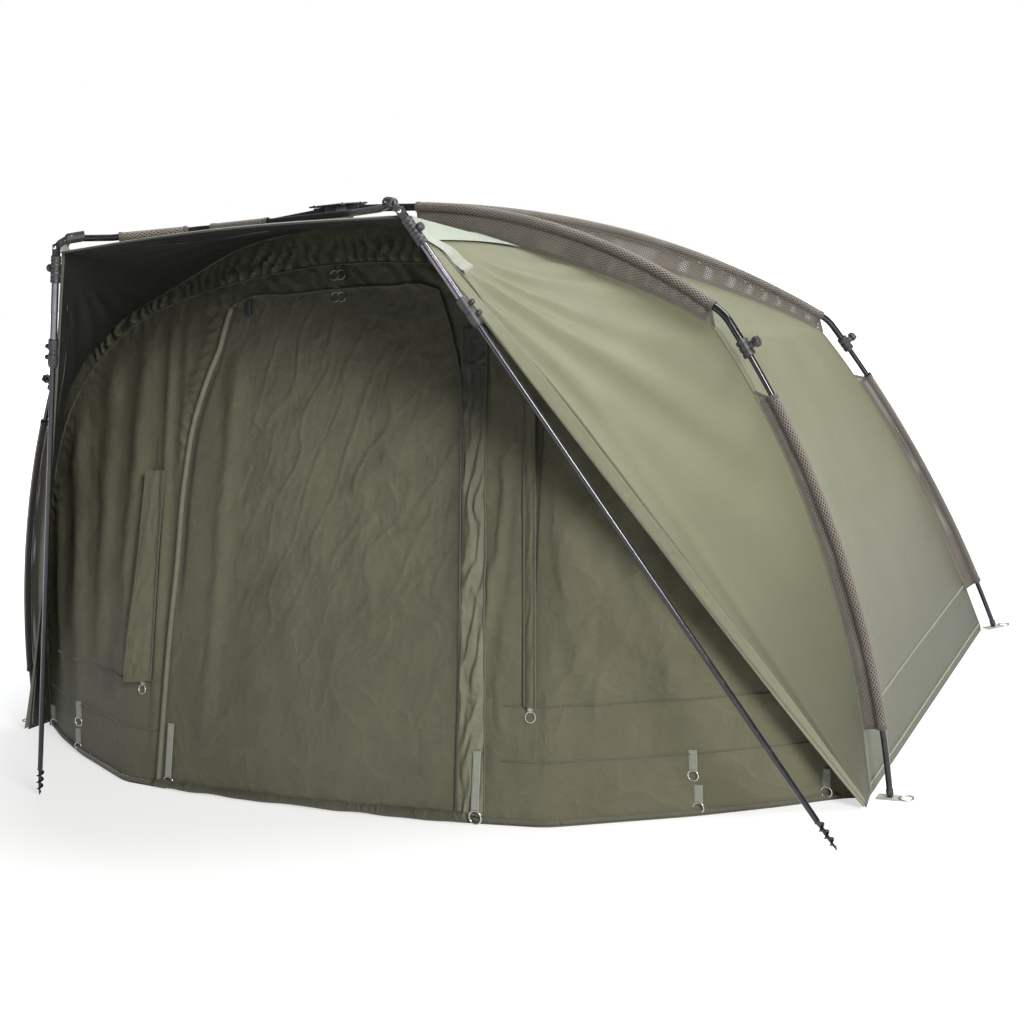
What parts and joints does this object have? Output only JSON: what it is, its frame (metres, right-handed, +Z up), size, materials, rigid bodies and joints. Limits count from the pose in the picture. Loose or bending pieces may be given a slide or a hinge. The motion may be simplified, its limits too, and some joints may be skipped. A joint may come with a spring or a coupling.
{
  "type": "four-rib bivvy tent",
  "caption": "Domed fishing bivvy with folding tube ribs on a hub, sleeved canopy, peaked brow on a bent bar, zipped front with door, and two adjustable storm poles.",
  "frame": {"origin": "on the ground, under the middle of the overall box", "axes": "+X to the tent's right side as seen from the front, +Y towards the back, +Z up; the door faces -Y"},
  "size_m": [2.7496, 2.0476, 1.4433],
  "materials": {
    "side_cloth": "matt coated polyester",
    "front_cloth": "matt coated polyester",
    "mesh_sleeve": "open mesh",
    "black_tube": "gloss black",
    "black_plastic": "satin moulded",
    "webbing": "woven",
    "steel": "plated"
  },
  "bodies": {
    "shelter": {"hub_base": "black_plastic", "hub_cap": "black_plastic", "roof_panel": "side_cloth", "wing_right": "side_cloth", "wing_left": "side_cloth", "side_panel_right": "side_cloth", "side_panel_left": "side_cloth", "rear_panel": "side_cloth", "front_wall": "front_cloth", "door_panel": "front_cloth", "brow_bar": "black_tube", "brow_sleeve_middle": "mesh_sleeve", "brow_sleeve_side": "mesh_sleeve", "brow_bracket_right": "black_plastic", "brow_bracket_left": "black_plastic", "door_tab_right": "webbing", "door_tab_left": "webbing"},
    "rib_front_right": {"upper_tube_front_right": "black_tube", "upper_sleeve_front_right": "mesh_sleeve", "lower_sleeve_front_right": "mesh_sleeve", "clamp_front_right": "black_plastic"},
    "leg_front_right": {"leg_tube_front_right": "black_tube", "foot_strap_front_right": "webbing"},
    "knob_front_right": {"knob_front_right": "black_plastic"},
    "rib_front_left": {"upper_tube_front_left": "black_tube", "upper_sleeve_front_left": "mesh_sleeve", "lower_sleeve_front_left": "mesh_sleeve", "clamp_front_left": "black_plastic"},
    "leg_front_left": {"leg_tube_front_left": "black_tube", "foot_strap_front_left": "webbing"},
    "knob_front_left": {"knob_front_left": "black_plastic"},
    "rib_rear_right": {"upper_tube_rear_right": "black_tube", "upper_sleeve_rear_right": "mesh_sleeve", "lower_sleeve_rear_right": "mesh_sleeve", "clamp_rear_right": "black_plastic"},
    "leg_rear_right": {"leg_tube_rear_right": "black_tube", "foot_strap_rear_right": "webbing"},
    "knob_rear_right": {"knob_rear_right": "black_plastic"},
    "rib_rear_left": {"upper_tube_rear_left": "black_tube", "upper_sleeve_rear_left": "mesh_sleeve", "lower_sleeve_rear_left": "mesh_sleeve", "clamp_rear_left": "black_plastic"},
    "leg_rear_left": {"leg_tube_rear_left": "black_tube", "foot_strap_rear_left": "webbing"},
    "knob_rear_left": {"knob_rear_left": "black_plastic"},
    "pole_right": {"pole_head_right": "black_plastic", "pole_outer_right": "black_tube", "pole_lock_right": "black_plastic"},
    "pole_inner_right": {"pole_inner_right": "black_tube"},
    "thumb_screw_right": {"thumb_screw_right": "black_plastic"},
    "zip_slider_right": {"zip_slider_right": "steel"},
    "zip_ring_right": {"zip_ring_right": "steel"},
    "pole_left": {"pole_head_left": "black_plastic", "pole_outer_left": "black_tube", "pole_lock_left": "black_plastic"},
    "pole_inner_left": {"pole_inner_left": "black_tube"},
    "thumb_screw_left": {"thumb_screw_left": "black_plastic"},
    "zip_slider_left": {"zip_slider_left": "steel"},
    "zip_ring_left": {"zip_ring_left": "steel"}
  },
  "joints": [
    {"name": "front_right_fold", "type": "hinge", "parent": "shelter", "child": "rib_front_right", "pos_m": [0.055, -0.50235, 1.428], "axis": [0, 1, 0], "range_deg": [0, 40], "deforming": ["roof_panel", "wing_right", "wing_left", "side_panel_right", "side_panel_left", "rear_panel", "front_wall"]},
    {"name": "front_right_leg_slide", "type": "hinge", "parent": "rib_front_right", "child": "leg_front_right", "pos_m": [-0.94978, -0.50235, -0.04507], "axis": [0, 1, 0], "range_deg": [-0.56, 0.45]},
    {"name": "front_right_knob_turn", "type": "hinge", "parent": "rib_front_right", "child": "knob_front_right", "pos_m": [1.04898, -0.50235, 1.03156], "axis": [0.8804, 0, 0.4742], "range_deg": [0, 360]},
    {"name": "front_left_fold", "type": "hinge", "parent": "shelter", "child": "rib_front_left", "pos_m": [-0.055, -0.50235, 1.428], "axis": [0, -1, 0], "range_deg": [0, 40]},
    {"name": "front_left_leg_slide", "type": "hinge", "parent": "rib_front_left", "child": "leg_front_left", "pos_m": [0.94978, -0.50235, -0.04507], "axis": [0, -1, 0], "range_deg": [-0.56, 0.45]},
    {"name": "front_left_knob_turn", "type": "hinge", "parent": "rib_front_left", "child": "knob_front_left", "pos_m": [-1.04898, -0.50235, 1.03156], "axis": [-0.8804, 0, 0.4742], "range_deg": [0, 360]},
    {"name": "rear_right_fold", "type": "hinge", "parent": "shelter", "child": "rib_rear_right", "pos_m": [0.03532, -0.46019, 1.428], "axis": [-0.7665, 0.6422, 0], "range_deg": [0, 51]},
    {"name": "rear_right_leg_slide", "type": "hinge", "parent": "rib_rear_right", "child": "leg_rear_right", "pos_m": [-1.07688, -1.78766, -1.26345], "axis": [-0.7665, 0.6422, 0], "range_deg": [-0.33, 0.27]},
    {"name": "rear_right_knob_turn", "type": "hinge", "parent": "rib_rear_right", "child": "knob_rear_right", "pos_m": [0.93485, 0.61344, 0.9296], "axis": [0.5261, 0.6279, 0.5735], "range_deg": [0, 360]},
    {"name": "rear_left_fold", "type": "hinge", "parent": "shelter", "child": "rib_rear_left", "pos_m": [-0.03532, -0.46019, 1.428], "axis": [-0.7665, -0.6422, 0], "range_deg": [0, 51]},
    {"name": "rear_left_leg_slide", "type": "hinge", "parent": "rib_rear_left", "child": "leg_rear_left", "pos_m": [1.07688, -1.78766, -1.26345], "axis": [-0.7665, -0.6422, 0], "range_deg": [-0.33, 0.27]},
    {"name": "rear_left_knob_turn", "type": "hinge", "parent": "rib_rear_left", "child": "knob_rear_left", "pos_m": [-0.93485, 0.61344, 0.9296], "axis": [-0.5261, 0.6279, 0.5735], "range_deg": [0, 360]},
    {"name": "pole_right_swing", "type": "hinge", "parent": "shelter", "child": "pole_right", "pos_m": [0.49, -0.99035, 1.4], "axis": [0.0513, -0.9947, -0.0892], "range_deg": [-12, 40]},
    {"name": "pole_right_extend", "type": "slide", "parent": "pole_right", "child": "pole_inner_right", "axis": [0.4958, 0.1029, -0.8623], "range_m": [-0.16, 0.01]},
    {"name": "pole_right_screw_turn", "type": "hinge", "parent": "pole_right", "child": "thumb_screw_right", "pos_m": [0.51578, -0.985, 1.35516], "axis": [0.8669, 0, 0.4985], "range_deg": [0, 360]},
    {"name": "window_zip_right", "type": "slide", "parent": "shelter", "child": "zip_slider_right", "axis": [-0.0306, 0.2811, 0.9592], "range_m": [0, 0.45]},
    {"name": "window_ring_right_swing", "type": "hinge", "parent": "zip_slider_right", "child": "zip_ring_right", "pos_m": [0.58277, -0.80715, 0.25067], "axis": [-0.9941, -0.1083, 0], "range_deg": [0, 90]},
    {"name": "pole_left_swing", "type": "hinge", "parent": "shelter", "child": "pole_left", "pos_m": [-0.49, -0.99035, 1.4], "axis": [-0.0036, 0.9999, -0.0163], "range_deg": [-10, 55]},
    {"name": "pole_left_extend", "type": "slide", "parent": "pole_left", "child": "pole_inner_left", "axis": [-0.2155, -0.0167, -0.9764], "range_m": [0, 0.16]},
    {"name": "pole_left_screw_turn", "type": "hinge", "parent": "pole_left", "child": "thumb_screw_left", "pos_m": [-0.50121, -0.99122, 1.34923], "axis": [-0.9765, 0, 0.2155], "range_deg": [0, 360]},
    {"name": "window_zip_left", "type": "slide", "parent": "shelter", "child": "zip_slider_left", "axis": [0.0306, 0.2811, 0.9592], "range_m": [0, 0.45]},
    {"name": "window_ring_left_swing", "type": "hinge", "parent": "zip_slider_left", "child": "zip_ring_left", "pos_m": [-0.58277, -0.80715, 0.25067], "axis": [-0.9941, 0.1083, 0], "range_deg": [0, 90]}
  ],
  "couplings": [
    {"joint": "front_left_fold", "follows": "front_right_fold", "ratio": 1},
    {"joint": "rear_right_fold", "follows": "front_right_fold", "ratio": 1.275},
    {"joint": "rear_left_fold", "follows": "front_right_fold", "ratio": 1.275}
  ]
}
